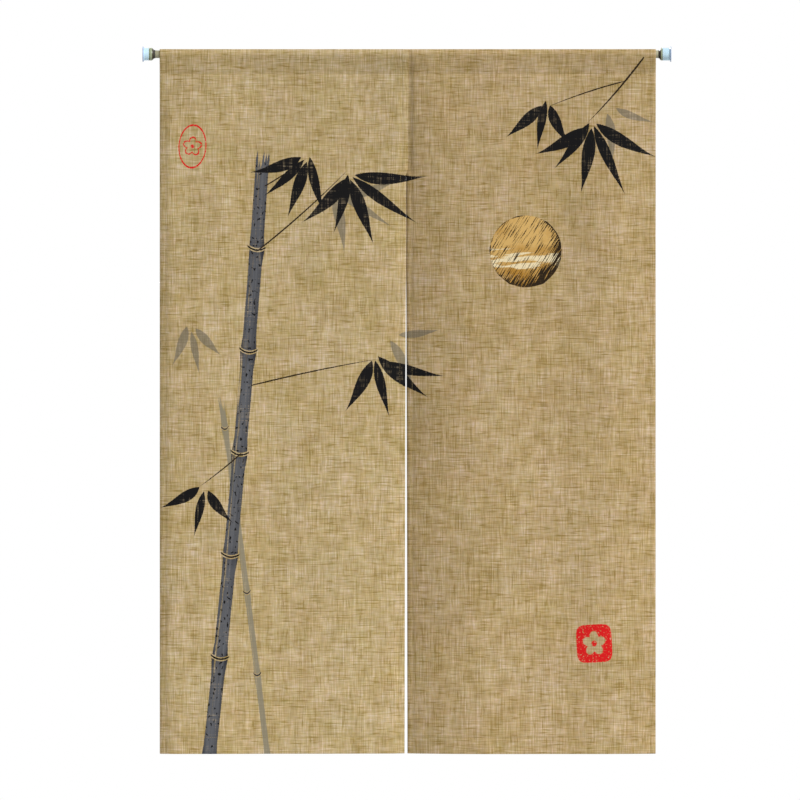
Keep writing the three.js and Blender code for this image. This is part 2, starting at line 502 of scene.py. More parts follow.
# %% [markdown]
# ## Folding a hem
#
# A double hem is the cloth turned back twice, so that its raw edge hides inside. Seen on
# end, the path of the cloth is a chain of straight runs and half circles. A half circle
# is a list of stops round its centre. Where cloth that is already hemmed is folded again,
# as in the bottom corners, the fold has to be wider, so the folds take the number of
# layers in the stack. Each stop also says which way the cloth's wrong side faces, because
# the layers inside lie on that side.

# %% Folded paths
FOLD_STEPS = 6
STACK_EASE = 5  # the stack of layers thins out over this width, past the side hem


def straight(start, end, facing, stops):
    """Stops on a straight run, both ends included: (place, direction of the wrong side)."""
    start, end = Vector(start), Vector(end)
    return [(start.lerp(end, i / (stops - 1)), Vector(facing)) for i in range(stops)]


def turn(centre, radius, begin, end, stops):
    """Stops on an arc, its ends left out. The wrong side faces the centre."""
    path = []
    for i in range(1, stops):
        angle = begin + (end - begin) * i / stops
        out = Vector((math.cos(angle), math.sin(angle)))
        path.append((Vector(centre) + radius * out, -out))
    return path


def side_hem_path():
    """From the raw edge of a side hem to the front: (inward from the fold, back)."""
    small = LAYER / 2
    path = straight((SIDE_HEM - TURN_IN, LAYER), (SIDE_HEM - small, LAYER), (0, 1), 3)
    quarter = math.pi / 2
    path += turn((SIDE_HEM - small, LAYER + small), small, -quarter, quarter, 4)
    path += straight((SIDE_HEM - small, 2 * LAYER), (LAYER, 2 * LAYER), (0, -1), 4)
    path += turn((LAYER, LAYER), LAYER, quarter, 3 * quarter, FOLD_STEPS)
    return [place for place, facing in path]


def stack_of(side, across):
    """Layers of cloth in the side hem at a column: three inside it, one beyond."""
    from_edge = min(across, PANEL_WIDTH[side] - across)
    return 3 - 2 * smooth((from_edge - SIDE_HEM) / STACK_EASE)


def around_rod(stack):
    """The circle that the pocket makes round the rod, and where its flat sides touch it."""
    radius = POCKET_TOP - THICKNESS / 2
    centre = Vector((-FRONT_Y, 0))

    def touching(y, z, sign):
        away = Vector((y, z)) - centre
        return math.atan2(away.y, away.x) + sign * math.acos(radius / away.length)

    hem_back = (3 * stack - 1) * LAYER
    front = touching(0, STITCH_Z, -1) + 2 * math.pi
    back = touching(hem_back, STITCH_Z + TURN_IN, 1)
    return centre, radius, front, back


print("a side hem's path has", len(side_hem_path()), "stops")

# %% [markdown]
# The front run needs stops only every few millimetres, but the grooves beside the
# stitches are narrow, so the stops crowd together there. The upright path then goes from
# the raw edge inside the bottom hem, round the hem, up the front, over the rod, and down
# the back of the pocket to the raw edge inside it.

# %% The upright path
COARSE = 6
FINE = 1.5
FINE_REACH = 6
ROD_STEPS = 20  # round the rod


def spaced(start, end, fine_at):
    """Stops from start to end, every COARSE mm, and every FINE mm beside fine_at."""
    stops = [start]
    while stops[-1] < end:
        near = min(abs(stops[-1] + FINE - place) for place in fine_at)
        stops.append(stops[-1] + (FINE if near < FINE_REACH else COARSE))
    stretch = (end - start) / (stops[-1] - start)
    return [start + (stop - start) * stretch for stop in stops]


def upright_path(stack):
    """Stops (place, facing) in the (y, z) plane, for a column where `stack` layers lie."""
    outer = (3 * stack - 1) * LAYER  # the back of the hem
    inner = stack * LAYER  # the edge turned in under it
    wide, small = outer / 2, (outer - inner) / 2
    middle = inner + small
    half = math.pi
    hem_top = HEM_Z + BOTTOM_HEM - small

    path = straight((inner, hem_top - TURN_IN), (inner, hem_top), (1, 0), 3)
    path += turn((middle, hem_top), small, half, 0, 4)
    path += straight((outer, hem_top), (outer, HEM_Z + wide), (-1, 0), 6)
    path += turn((wide, HEM_Z + wide), wide, 0, -half, FOLD_STEPS)
    seam_end = POCKET_TOP - SEAM_LENGTH
    rows = spaced(HEM_Z, STITCH_Z, [HEM_Z + BOTTOM_HEM - STITCH_INSET, seam_end, STITCH_Z])
    rows[0] = HEM_Z + wide
    path += [(Vector((0, z)), Vector((1, 0))) for z in rows]

    centre, radius, front, back = around_rod(stack)
    touch = [centre + radius * Vector((math.cos(a), math.sin(a))) for a in (front, back)]
    facing = [(centre - place).normalized() for place in touch]
    back_turn = Vector((outer, STITCH_Z + TURN_IN))
    path += straight((0, STITCH_Z), touch[0], facing[0], 9)[1:]
    path += turn(centre, radius, front, back, ROD_STEPS)
    path += straight(touch[1], back_turn, facing[1], 8)
    pocket_edge = STITCH_Z - POCKET_EDGE + small
    path += straight(back_turn, (outer, pocket_edge), (-1, 0), 6)[1:]
    path += turn((middle, pocket_edge), small, 0, -half, 4)
    path += straight((inner, pocket_edge), (inner, pocket_edge + TURN_IN), (1, 0), 3)
    return path


print("an upright path has", len(upright_path(1)), "stops")

# %% [markdown]
# ## Cutting and hanging a panel
#
# The cloth starts as one flat grid, the cut length. Each point of the grid is then moved
# to where it hangs: the path across gives its column and its layer in the side hem, and
# the path upright gives its height and its place in the hem or the pocket. This keeps the
# threads of the grid along the threads of the cloth, and the distances along the two
# paths are the true size of the cut, which goes into a UV map in metres. The print and
# the weave follow that map. A Solidify modifier gives the cloth its thickness, and its
# second material slot is the wrong side.

# %% Hanging a panel
def along(places):
    """Distances along a path, from its first stop."""
    total = [0.0]
    for one, other in zip(places, places[1:]):
        total.append(total[-1] + (other - one).length)
    return total


def nearest(options, score):
    """The number of the option with the lowest score."""
    return min(range(len(options)), key=lambda i: score(options[i]))


def across_path(side):
    """Stops (distance from the slit, layer) and where each lies on the flat cut."""
    width = PANEL_WIDTH[side]
    hem = side_hem_path()
    inside = SIDE_HEM - STITCH_INSET
    fine_at = [0, inside, width - inside]
    flat = [Vector((a, 0)) for a in spaced(LAYER, width - LAYER, fine_at)]
    path = hem + flat + [Vector((width - place.x, place.y)) for place in reversed(hem)]
    cut = along(path)
    slit_at = cut[len(hem)] - LAYER
    return path, [distance - slit_at for distance in cut]


def hang(side, across, z):
    """A place on the middle of the front layer, with no stack or fold, in mm."""
    width = PANEL_WIDTH[side]
    inner = half_slit(z)
    sign = -1 if side == "left" else 1
    x = SLIT_X + sign * (inner + across * (width - inner) / width) + lap_shift(side, across, z)
    y = FRONT_Y + drape(side, across, z) + small_relief(side, across, z)
    return Vector((x, y + edge_depth(side, across, z), z))


def cut_panel(side):
    """A flat grid of the cut's size, moved point by point to where the cloth hangs."""
    across, cut_across = across_path(side)
    if side == "left":  # the grid's columns run from left to right
        across, cut_across = across[::-1], [-cut for cut in cut_across[::-1]]
    front = upright_path(1)
    plain = along([place for place, facing in front])
    at_stitches = nearest(front, lambda stop: (stop[0] - Vector((0, STITCH_Z))).length)
    cut_up = [cut - plain[at_stitches] + STITCH_Z for cut in plain]

    bm = bmesh.new()
    bmesh.ops.create_grid(bm, x_segments=len(across) - 1, y_segments=len(cut_up) - 1, size=1)
    bm.verts.ensure_lookup_table()
    uv = bm.loops.layers.uv.new("cut")
    flat = {}
    hung[side] = {"across": across, "upright": front, "places": []}
    for column, place in enumerate(across):
        hung[side]["places"].append([])
        path = upright_path(stack_of(side, place.x))
        for row, (upright, facing) in enumerate(path):
            y, z = upright + facing * place.y
            vert = bm.verts[row * len(across) + column]
            vert.co = (hang(side, place.x, z) + Vector((0, y, 0))) * MM
            hung[side]["places"][column].append(vert.co.copy())
            flat[vert] = (cut_across[column] * MM, cut_up[row] * MM)
    for face in bm.faces:
        face.smooth = True
        for loop in face.loops:
            loop[uv].uv = flat[loop.vert]
    mesh = bpy.data.meshes.new(side + "_cloth")
    bm.to_mesh(mesh)
    bm.free()

    piece = add_object(side + "_cloth", mesh)
    thick = piece.modifiers.new("thickness", "SOLIDIFY")
    thick.thickness = THICKNESS * MM
    thick.offset = 0
    thick.material_offset = 1
    size = (max(cut_across) - min(cut_across), max(cut_up) - min(cut_up))
    return piece, [length * MM for length in size]


panels = {}
cut_sizes = {}
hung = {}  # each panel's grid, kept for the seams that follow it
for side in ("left", "right"):
    panels[side], cut_sizes[side] = cut_panel(side)
    print(side, "panel cut", [round(length, 3) for length in cut_sizes[side]], "m,",
          len(panels[side].data.polygons), "faces")

# %% [markdown]
# ## Linen
#
# Linen yarn is spun from long, uneven fibres. Each thread swells and thins along its
# length, and since threads run right across the cloth, both up and across it, the eye
# sees long faint streaks, with short dark slubs where a yarn is thickest. Noise that is
# stretched until it is very long and only a thread or two thick gives just that. One
# layer of it for each kind of streak, once along the weft and once along the warp, adds
# up to the tone of the cloth. The yarns also differ a little in hue, so the group gives
# a tint as well. It reads the cut's UV map in millimetres.

# %% Linen weave
STREAKS = [
    {"length": 120, "thick": 2.6, "weft": 0.36, "warp": 0.52},
    {"length": 30, "thick": 1.9, "weft": 0.62, "warp": 0.64},
    {"length": 50, "thick": 1.15, "weft": 0.45, "warp": 0.50},
]
PATCHES = [{"size": 28, "share": 0.56}, {"size": 130, "share": 0.26}]
SLUBS = {"length": 26, "thick": 2.6, "share": 0.36, "weft": (0.65, 0.82), "warp": (0.70, 0.88)}
HUES = [{"size": 9, "red": 0.18, "blue": 0.50}, {"size": 90, "red": 0.09, "blue": 0.28}]
WANDER = {"size": 34, "far": 1.8}  # threads drift off the straight by a millimetre or so
THREAD = 1.1  # from one thread to the next
RAISED = {"thread": 0.4, "slub": 0.5}  # how much each adds to the height of the weave


def in_mm(recipe, cut):
    """The UV map of the cut is in metres, and the recipes work in millimetres."""
    return recipe.vector("MULTIPLY", cut, (1 / MM,) * 3)


tree, recipe, given, end = new_group(
    "linen weave", {"Cut": "Vector"}, {"Tone": "Float", "Height": "Float", "Tint": "Color"}
)
cut = in_mm(recipe, given["Cut"])
far = WANDER["far"]
drift = recipe.noise(cut, (3, 8, 0), WANDER["size"], gives="Color")
drift = recipe.vector("MULTIPLY_ADD", drift, (far, far, 0), (-far / 2, -far / 2, 0))
threads = recipe.vector("ADD", cut, drift)
tone = 0.5
for number, streak in enumerate(STREAKS):
    across = (streak["length"], streak["thick"], 1)
    upward = (streak["thick"], streak["length"], 1)
    for name, size, place in (("weft", across, 310), ("warp", upward, 830)):
        grain = recipe.noise(threads, (place, 90 * number, 0), size, detail=1.5)
        tone = (grain - 0.5) * streak[name] + tone
for kind in PATCHES:
    patch = recipe.noise(cut, (70, 20, 0), kind["size"], detail=2)
    tone = (patch - 0.5) * kind["share"] + tone

slub_size = (SLUBS["length"], SLUBS["thick"], 1)
slub = recipe.math("MAXIMUM", *[
    recipe.noise(threads, (15, 60, 0), slub_size, angle, detail=0).span(*SLUBS[name])
    for name, angle in (("weft", 0), ("warp", 90))
])
tone = tone - slub * SLUBS["share"]

# Over and under: the product of two waves is high where one thread tops the other.
cut_x, cut_y, _ = recipe.split(cut)
wave_x, wave_y = [recipe.math("SINE", at * (math.pi / THREAD)) for at in (cut_x, cut_y)]
height = abs(wave_x * wave_y) * RAISED["thread"] + tone + slub * RAISED["slub"]

tint = (1, 1, 1, 1)
for hue in HUES:
    shift = recipe.noise(cut, (400, 55, 0), hue["size"], detail=2, roughness=1.0, gives="Color")
    swing = (hue["red"], 0, hue["blue"])
    shift = recipe.vector("MULTIPLY_ADD", shift, swing, tuple(1 - part / 2 for part in swing))
    tint = recipe.mix(1.0, tint, shift, "MULTIPLY")
recipe.fill_named(end, Tone=tone, Height=height, Tint=tint)
linen_weave = tree
print("linen weave:", len(tree.nodes), "nodes")

# %% [markdown]
# ## The printed design
#
# The print is an ink drawing of bamboo: one slate culm with black leaves, a low golden
# moon behind a spray that hangs from the top, and two plain red stamps. It could be an
# image, but an image has one fixed sharpness. Shapes written as formulas stay crisp at
# any distance and weigh nothing. A brush leaf is a good example. Seen from its stalk in
# units of its own length and half width, it swells to its widest at a third of its
# length, then thins to a long fine tip, and bends. Two powers, one for each end, say
# how full it is there, so that the same group also draws twigs, which stay thick longer.

# %% A brush leaf
tree, recipe, given, end = new_group(
    "brush leaf",
    {"Cut": "Vector", "Place": "Vector", "Turn": "Vector", "Size": "Vector", "Bend": "Float",
     "Stalk": "Float", "Tip": "Float", "Fullness": "Float"},
    {"Ink": "Float"},
)
own = recipe.add("Mapping", {"vector_type": "TEXTURE"}, Vector=given["Cut"],
                 Location=given["Place"], Rotation=given["Turn"], Scale=given["Size"])
length, off, _ = recipe.split(own.outputs[0])
off = abs(off - length * length * given["Bend"])
swelling = recipe.math("MAXIMUM", length, 0.0) ** given["Stalk"]
thinning = recipe.math("MAXIMUM", 1.0 - length, 0.0) ** given["Tip"]
recipe.fill_named(end, Ink=swelling * thinning * given["Fullness"] - off)
brush_leaf = tree


LEAF = {"stalk": 1, "tip": 2}
TWIG = {"stalk": 0.15, "tip": 0.5}


def paint_leaves(recipe, cut, leaves, shape=LEAF):
    """The strongest ink of all the leaves at each place. Above 0 is inside a leaf."""
    stalk, tip = shape["stalk"], shape["tip"]
    widest = stalk / (stalk + tip)  # along the leaf, where its body then reaches 1
    fullness = 1 / (widest**stalk * (1 - widest) ** tip)
    ink = -1.0
    for leaf in leaves:
        own = recipe.group(
            brush_leaf, Cut=cut, Place=(leaf["x"], leaf["z"], 0), Bend=leaf["bend"],
            Turn=(0, 0, math.radians(leaf["angle"])), Size=(leaf["length"], leaf["half"], 1),
            Stalk=stalk, Tip=tip, Fullness=fullness,
        )
        ink = recipe.math("MAXIMUM", ink, own["Ink"])
    return ink


print("brush leaf:", len(tree.nodes), "nodes")

# %% [markdown]
# Leaves hang from the tips of twigs in bunches of three to five, fanned out like the
# fingers of a hand. So a short table of bunches is enough, and each bunch works out its
# own leaves. Places are in millimetres from the slit and from the rod's axis.

# %% Where the leaves hang
def table(columns, *rows):
    """A table with named columns, as a list of dictionaries."""
    return [dict(zip(columns.split(), row)) for row in rows]


BUNCHES = table(
    "x z lean fan count length half",
    (-96, -210, -66, 92, 5, 142, 10.5),
    (-172, -180, -112, 64, 4, 124, 9.5),
    (-50, -522, -70, 84, 4, 134, 10.0),
    (-346, -746, -106, 60, 3, 104, 8.5),
    (318, -122, -88, 92, 5, 136, 10.5),
    (240, -84, -112, 60, 3, 112, 9.0),
)
PALE_BUNCHES = table(
    "x z lean fan count length half",
    (-120, -236, -34, 60, 3, 150, 9.0),
    (-20, -486, -20, 50, 2, 120, 8.0),
    (352, -96, -58, 40, 2, 118, 8.0),
    (-368, -470, -76, 62, 3, 100, 7.5),
)
TWIGS = table(
    "x z angle length half bend",
    (-256, -338, 38, 212, 1.6, 9),
    (-242, -226, 30, 86, 1.4, 4),
    (-266, -568, 14, 228, 1.5, -6),
    (-282, -684, 222, 92, 1.4, -4),
    (408, -4, 234, 150, 2.0, -6),
    (376, -46, 194, 142, 1.4, 8),
)
STRAY = {  # how much the leaves of a bunch differ
    "x": 7, "z": 5, "angle": 9, "shorter": 0.20, "length": 0.16, "half": 0.16,
    "bend_out": 1.7, "bend": 0.9,
}


def bunch_leaves(bunches):
    """Fan each bunch out into leaves, longest in the middle."""
    leaves = []
    for bunch in bunches:
        for i in range(bunch["count"]):
            side_on = 2 * i / (bunch["count"] - 1) - 1  # from -1 to 1 across the fan
            chance = math.sin(7 * i + bunch["x"])
            leaves.append({
                "x": bunch["x"] + STRAY["x"] * side_on,
                "z": bunch["z"] + STRAY["z"] * math.sin(4 * i + bunch["z"]),
                "angle": bunch["lean"] + bunch["fan"] / 2 * side_on + STRAY["angle"] * chance,
                "length": bunch["length"] * (
                    1 - STRAY["shorter"] * side_on**2 + STRAY["length"] * math.sin(5 * i)
                ),
                "half": bunch["half"] * (1 + STRAY["half"] * math.sin(3 * i + 1)),
                "bend": STRAY["bend_out"] * side_on + STRAY["bend"] * chance,
            })
    return leaves


black_leaves = bunch_leaves(BUNCHES)
pale_leaves = bunch_leaves(PALE_BUNCHES)
print(len(black_leaves), "black leaves,", len(pale_leaves), "pale ones,", len(TWIGS), "twigs")

# %% [markdown]
# A culm of bamboo is a row of straight lengths with a ring between one and the next. The
# brush is lifted there, which leaves a gap, and a short dark stroke marks the ring. The
# fraction of the distance along the culm repeats for each length, so one formula draws
# them all. Streaks along the culm and a sprinkle of dots are noise again.

# %% A culm
CULMS = {
    "slate": {"x": -338, "z": -1212, "angle": 83.6, "joint": 176, "half": 13.5, "joints": 5.92},
    "pale": {"x": -236, "z": -1206, "angle": 97, "joint": 142, "half": 5.6, "joints": 4.35},
}
BRUSH = {  # along a culm in shares of a length, and across it in shares of its half width
    "bow": 0.05,
    "hook": 0.024,  # a ring curves at its sides
    "flare": (0.0, 0.16, 1.08, 0.88),  # wider beside a ring than between two
    "edge": (0.0, 0.07),
    "gap": (0.016, 0.022),
    "ring": (0.011, 0.007),
    "ring_sides": (1.24, 1.10),
    "first_ring": (0.5, 0.6),
    "last_ring": (0.0, -0.1),
    "streak": (1.3, 3.4),
    "dry": (0.56, 0.66),
    "dry_side": (0.1, 0.8),
    "lift": 0.5,  # the brush lifts unevenly at the top
    "top": (0.24, 0.20),
    "round": 0.55,  # darker toward its sides
    "ring_shade": (0.0, 0.12, 0.3, 0.0),
    "shade": (0.35, 1.15),
}


def paint_culm(recipe, cut, culm):
    """Three masks of a culm: its body, its dark rings, and its shading from 0 to 1."""
    size = (culm["joint"], culm["half"], 1)
    own = recipe.frame(cut, (culm["x"], culm["z"], 0), size, culm["angle"])
    length, off, _ = recipe.split(own)
    off = off - length**2 * BRUSH["bow"]
    aside = abs(off)
    above_ring = recipe.math("FRACT", length + 0.5) - 0.5  # from -0.5 to 0.5 of a length
    from_ring = abs(above_ring)
    hooked = abs(above_ring - off * off * BRUSH["hook"])
    inside = (from_ring.span(*BRUSH["flare"]) - aside).span(*BRUSH["edge"])
    ring = hooked.span(*BRUSH["ring"]) * aside.span(*BRUSH["ring_sides"])
    last_ring, top = (
        [culm["joints"] + past for past in BRUSH[end]] for end in ("last_ring", "top")
    )
    ring = ring * length.span(*BRUSH["first_ring"]) * length.span(*last_ring)

    along_by, across_by = BRUSH["streak"]
    streak = recipe.add("CombineXYZ", X=length * along_by, Y=off * across_by)
    streak = recipe.noise(streak.outputs[0], detail=3)
    dry = streak.span(*BRUSH["dry"]) * off.span(*BRUSH["dry_side"])
    brushed_out = streak * BRUSH["lift"] + length
    body = inside * hooked.span(*BRUSH["gap"]) * brushed_out.span(*top) * (1.0 - dry)
    shade = aside * aside * BRUSH["round"] + streak + from_ring.span(*BRUSH["ring_shade"])
    return body, ring, shade.span(*BRUSH["shade"])


# %% [markdown]
# The print is built up like a real one, ink over ink. Everything meets in one group, which
# takes the cloth's colour and gives back the printed colour, so that the weave stays
# visible through the ink. The edges are a little ragged, as ink is on coarse cloth, so
# each place is shifted by a fine noise before any shape is drawn. One table says how
# softly each kind of edge fades, from no ink to full ink.

# %% Inks and layers
INK = {
    "black": colour(9, 8, 9),
    "brown": colour(40, 29, 14),
    "slate": colour(96, 97, 101),
    "deep_slate": colour(48, 49, 54),
    "wash": colour(112, 106, 92),
    "pale_culm": colour(132, 126, 108),
    "gold": colour(214, 174, 104),
    "ochre": colour(176, 128, 50),
    "cream": colour(238, 220, 178),
    "red": colour(214, 24, 26),
}
FADE = {
    "disc": (1.0, 0.985), "wash": (0.34, 0.78), "cloud": (0.34, 0.40), "crescent": (0.82, 1.25),
    "hatching": (0.60, 0.66), "rim": (0.0, 0.012), "leaf": (0.02, 0.08),
    "pale_leaf": (0.02, 0.12), "twig": (0.04, 0.30), "dots": (0.74, 0.77), "stamp": (1.0, 0.86),
    "bare": (-0.04, 0.02), "vein": (0.17, 0.13), "worn": (0.70, 0.64), "oval": (0.050, 0.030),
    "outline": (0.065, 0.040), "middle": (0.15, 0.11),
}
RAGGED = {"size": 1 / 0.45, "far": 1.6}
PALER = {"culm": 0.85, "leaf": 0.72}  # the strength of the inks that stand behind

tree, recipe, given, end = new_group(
    "ink print",
    {"Cut": "Vector", "Cloth": "Color", "Tone": "Float"},
    {"Color": "Color", "Ink": "Float"},
)
flat_cut = in_mm(recipe, given["Cut"])
ragged = recipe.noise(flat_cut, size=RAGGED["size"], detail=2, gives="Color")
shift = recipe.vector("SUBTRACT", ragged, (0.5, 0.5, 0.5))
cut = recipe.vector("MULTIPLY_ADD", shift, (RAGGED["far"], RAGGED["far"], 0), flat_cut)
through = given["Tone"].span(0.62, 0.95, 1.0, 0.72)  # light threads take less ink


def lay(layers, mask, ink):
    """Lay an ink over the layers so far, which are the colour and the share of ink."""
    painted, all_ink = layers
    mask = mask * through
    return recipe.mix(mask, painted, ink), recipe.math("MAXIMUM", all_ink, mask)


layers = (given["Cloth"], 0.0)
print(len(INK), "inks")

# %% [markdown]
# The moon is a disc of gold wash with cream cloud across it, closed by a crescent of
# brown hatching on its shaded side and by a rim of uneven width. Seen from its own middle
# in units of its radius, all of these are short formulas.

# %% The moon
MOON = {
    "x": 205, "z": -338, "radius": 62, "sinks": 0.22, "cloud": -0.25, "shading": (-13, 15),
    "deepens": 0.34, "rim": 0.985,
}

moon_size = (MOON["radius"],) * 3
moon_own = recipe.frame(cut, (MOON["x"], MOON["z"], 0), moon_size)
_, moon_z, _ = recipe.split(moon_own)
moon_out = recipe.length(moon_own)
disc = moon_out.span(*FADE["disc"])
wash = recipe.noise(cut, (0, 0, 0), (46, 30, 1), detail=4) - moon_z * MOON["sinks"]
layers = lay(layers, disc, recipe.mix(wash.span(*FADE["wash"]), INK["gold"], INK["ochre"]))

cloud = recipe.noise(cut, (40, 0, 0), (54, 6.5, 1), 4, detail=3) - abs(moon_z - MOON["cloud"])
layers = lay(layers, cloud.span(*FADE["cloud"]) * disc, INK["cream"])

shading_at = (MOON["x"] + MOON["shading"][0], MOON["z"] + MOON["shading"][1], 0)
crescent = recipe.length(recipe.frame(cut, shading_at, moon_size)).span(*FADE["crescent"])
hatching = recipe.noise(cut, (0, 30, 0), (34, 1.5, 1), 58) + crescent * MOON["deepens"]
layers = lay(layers, hatching.span(*FADE["hatching"]) * disc, INK["brown"])

rim_width = recipe.noise(cut, (9, 0, 0), (30, 30, 1)).span(0.4, 0.7, 0.004, 0.036)
rim = (rim_width - abs(moon_out - MOON["rim"])).span(*FADE["rim"])
layers = lay(layers, rim, INK["brown"])
print("with the moon:", len(tree.nodes), "nodes")

# %% [markdown]
# The bamboo goes on from the back to the front: the pale culm and the pale leaves, as if
# in mist, then the slate culm with its dots and rings, and last the twigs and the black
# leaves.

# %% The bamboo
body, ring, _ = paint_culm(recipe, cut, CULMS["pale"])
layers = lay(layers, body * PALER["culm"], INK["pale_culm"])
layers = lay(layers, ring, INK["deep_slate"])
pale_ink = paint_leaves(recipe, cut, pale_leaves).span(*FADE["pale_leaf"])
layers = lay(layers, pale_ink * PALER["leaf"], INK["wash"])
body, ring, shade = paint_culm(recipe, cut, CULMS["slate"])
layers = lay(layers, body, recipe.mix(shade, INK["slate"], INK["deep_slate"]))
dots = recipe.noise(cut, (60, 0, 0), (4.6, 6.5, 1), detail=0).span(*FADE["dots"])
layers = lay(layers, dots * body, INK["black"])
layers = lay(layers, ring, INK["black"])
twig_ink = paint_leaves(recipe, cut, TWIGS, TWIG).span(*FADE["twig"])
layers = lay(layers, twig_ink, INK["brown"])
leaf_ink = paint_leaves(recipe, cut, black_leaves).span(*FADE["leaf"])
layers = lay(layers, leaf_ink, INK["black"])
print("with the bamboo:", len(tree.nodes), "nodes")

# %% [markdown]
# The stamps are red: a solid rounded square with a bare five-petalled blossom in it, and
# the same blossom in line, in a thin oval. In one turn round the blossom, a cosine swells
# and sinks five times, which makes its petals. Here and there the ink is worn off.

# %% The stamps
STAMP = {"x": 322, "z": -1010, "half_width": 31, "half_height": 33, "angle": 3, "square": 5}
OVAL = {"x": -366, "z": -158, "half_width": 24, "half_height": 38, "angle": -4, "line": 0.96}
BLOSSOM = {"petals": 5, "inner": 0.40, "outer": 0.66}  # in shares of a stamp's half width


def stamp_frame(stamp, half_height):
    """Places seen from a stamp's middle, in units of its half sizes."""
    size = (stamp["half_width"], half_height, 1)
    return recipe.frame(cut, (stamp["x"], stamp["z"], 0), size, stamp["angle"])


def paint_blossom(own):
    """How far outside a round-petalled blossom a place is, and from the blossom's middle."""
    x, z, _ = recipe.split(own)
    around = recipe.math("ARCTAN2", x, z)
    petal = abs(recipe.math("COSINE", around * (BLOSSOM["petals"] / 2)))
    edge = petal * (BLOSSOM["outer"] - BLOSSOM["inner"]) + BLOSSOM["inner"]
    middle = recipe.length(own)
    return middle - edge, middle


worn = recipe.noise(cut, (5, 0, 0), (3.4, 3.4, 1), detail=3).span(*FADE["worn"])
stamp_own = stamp_frame(STAMP, STAMP["half_height"])
stamp_x, stamp_z, _ = recipe.split(stamp_own)
square = abs(stamp_x) ** STAMP["square"] + abs(stamp_z) ** STAMP["square"]
outside, middle = paint_blossom(stamp_own)
bare = recipe.math("MAXIMUM", outside.span(*FADE["bare"]), middle.span(*FADE["vein"]))
layers = lay(layers, square.span(*FADE["stamp"]) * bare * worn, INK["red"])

oval = abs(recipe.length(stamp_frame(OVAL, OVAL["half_height"])) - OVAL["line"])
outside, middle = paint_blossom(stamp_frame(OVAL, OVAL["half_width"]))
lines = recipe.math("MAXIMUM", oval.span(*FADE["oval"]), abs(outside).span(*FADE["outline"]))
lines = recipe.math("MAXIMUM", lines, middle.span(*FADE["middle"]))
layers = lay(layers, lines * worn, INK["red"])

recipe.fill_named(end, Color=layers[0], Ink=layers[1])
ink_print = tree
print("ink print:", len(tree.nodes), "nodes")

# %% [markdown]
# The two faces of the cloth are two materials. The right side shows the print at full
# strength. On the wrong side only a little ink comes through. The ink ends at the folds
# of the hems, as it does when finished panels are printed. Both faces are matt, with a
# faint sheen from loose fibres, and the weave's height gives them a bump.

# %% Cloth materials
LINEN = [(0.0, colour(151, 128, 74)), (0.5, colour(187, 164, 119)), (1.0, colour(220, 199, 167))]
# the right panel's cloth is coloured a little darker and redder than the left's
PANEL_TONE = {"left": (1, 1, 1), "right": (0.971, 0.938, 0.929)}  # the two panels differ a little
GHOST = 0.22
INK_ENDS = (-0.8 * MM, -0.4 * MM)  # past the folds of the hems
WEAVE_BUMP = 0.22 * MM
MATT = {"bare": 0.92, "inked": 0.74}


def cloth_material(side, name, strength):
    """Linen with the print on it, at full strength on the right side of the cloth."""
    material, shader, recipe = new_material(side + "_" + name)
    cut = recipe.add("UVMap", {"uv_map": "cut"}).outputs["UV"]
    weave = recipe.group(linen_weave, Cut=cut)
    ramp = recipe.add("ValToRGB", Fac=weave["Tone"])
    stops = ramp.color_ramp.elements
    stops.new(0.5)
    for stop, (place, shade) in zip(stops, LINEN):
        stop.position = place
        stop.color = [c * panel_factor for c, panel_factor in zip(shade, PANEL_TONE[side])] + [1]
    linen = recipe.mix(1.0, ramp.outputs["Color"], weave["Tint"], "MULTIPLY")
    printed = recipe.group(ink_print, Cut=cut, Cloth=linen, Tone=weave["Tone"])
    from_slit, height, _ = recipe.split(cut)
    from_slit = from_slit * (-1 if side == "left" else 1)
    inside = recipe.math("MINIMUM", from_slit, PANEL_WIDTH[side] * MM - from_slit)
    inside = recipe.math("MINIMUM", inside, height - HEM_Z * MM)
    share = inside.span(*INK_ENDS) * strength
    ink = share * printed["Ink"]
    bump = recipe.add("Bump", Strength=0.5, Distance=WEAVE_BUMP, Height=weave["Height"])
    recipe.fill_named(
        shader, Base_Color=recipe.mix(share, linen, printed["Color"]), Normal=bump.outputs[0],
        Roughness=ink.span(0, 1, MATT["bare"], MATT["inked"]),
        Sheen_Weight=0.03, Sheen_Roughness=0.6, Specular_IOR_Level=0.1,
    )
    return material


for side, panel in panels.items():
    panel.data.materials.append(cloth_material(side, "cloth_front", 1))
    panel.data.materials.append(cloth_material(side, "cloth_back", GHOST))
    print(side, "panel:", [material.name for material in panel.data.materials])

# %% [markdown]
# ## Sewing
#
# A stitch is a short plump bit of thread, and a seam is a few hundred of them. Each needs
# only a few dozen faces. One stitch is modelled from a small sphere, and its corners are
# then repeated along every seam with arrays, which is far quicker than adding spheres
# one by one. The seams follow the columns and rows of the hung cloth, a hair above it.

# %% One stitch, repeated
STITCH = {"length": 2.7, "thick": 0.42, "step": 3.3}


def stitch_shape():
    """The corners and triangles of one stitch, which lies along the third axis."""
    bm = bmesh.new()
    bmesh.ops.create_uvsphere(bm, u_segments=6, v_segments=4, radius=0.5)
    bmesh.ops.scale(bm, vec=(STITCH["thick"], STITCH["thick"], STITCH["length"]), verts=bm.verts)
    bmesh.ops.triangulate(bm, faces=bm.faces)
    corners = np.array([vert.co for vert in bm.verts]) * MM
    faces = np.array([[vert.index for vert in face.verts] for face in bm.faces])
    bm.free()
    return corners, faces


